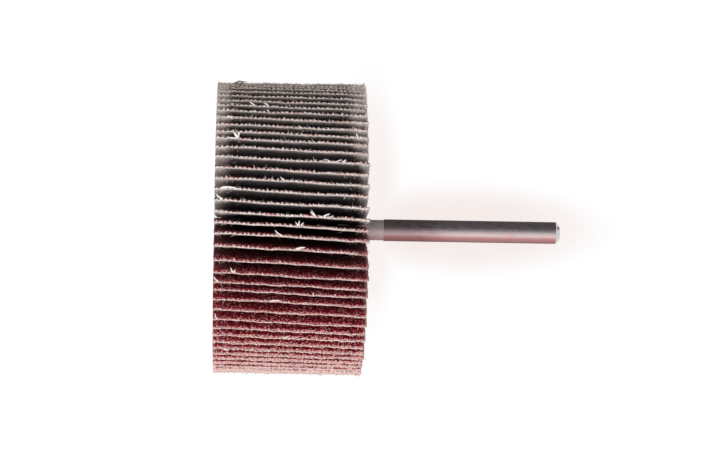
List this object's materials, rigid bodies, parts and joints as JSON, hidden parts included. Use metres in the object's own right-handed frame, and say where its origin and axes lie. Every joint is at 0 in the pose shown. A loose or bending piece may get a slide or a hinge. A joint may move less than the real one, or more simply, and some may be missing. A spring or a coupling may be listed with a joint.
{
  "type": "mounted flap wheel",
  "caption": "Abrasive flap wheel on a steel shank: cloth flaps with red-brown grain set like a fan round a cast core, for a drill or die grinder.",
  "frame": {"origin": "centre of the wheel's lower face, in the plane of the flaps' lower side edges", "axes": "+Z along the shank, from the wheel towards the shank's free end; +X and +Y across the wheel"},
  "size_m": [0.0802, 0.0802, 0.0947],
  "materials": {
    "steel": "ground bar with fine turned marks",
    "resin": "cast brown resin, semi-gloss",
    "ring": "plain steel strip",
    "cloth": "coated abrasive cloth: maroon grain on one side, grey-brown cotton twill on the other, pale frayed edges"
  },
  "bodies": {
    "root": {"shank": "steel", "resin_core": "resin", "lower_retaining_ring": "ring", "upper_retaining_ring": "ring", "flap_pair_01": "cloth", "flap_pair_02": "cloth", "flap_pair_03": "cloth", "flap_pair_04": "cloth", "flap_pair_05": "cloth", "flap_pair_06": "cloth", "flap_pair_07": "cloth", "flap_pair_08": "cloth", "flap_pair_09": "cloth", "flap_pair_10": "cloth", "flap_pair_11": "cloth", "flap_pair_12": "cloth", "flap_pair_13": "cloth", "flap_pair_14": "cloth", "flap_pair_15": "cloth", "flap_pair_16": "cloth", "flap_pair_17": "cloth", "flap_pair_18": "cloth", "flap_pair_19": "cloth", "flap_pair_20": "cloth", "flap_pair_21": "cloth", "flap_pair_22": "cloth", "flap_pair_23": "cloth", "flap_pair_24": "cloth", "flap_pair_25": "cloth", "flap_pair_26": "cloth", "flap_pair_27": "cloth", "flap_pair_28": "cloth", "flap_pair_29": "cloth", "flap_pair_30": "cloth", "flap_pair_31": "cloth", "flap_pair_32": "cloth", "flap_pair_33": "cloth", "flap_pair_34": "cloth", "flap_pair_35": "cloth", "flap_pair_36": "cloth", "flap_pair_37": "cloth", "flap_pair_38": "cloth", "flap_pair_39": "cloth", "flap_pair_40": "cloth", "flap_pair_41": "cloth", "flap_pair_42": "cloth"}
  },
  "joints": []
}
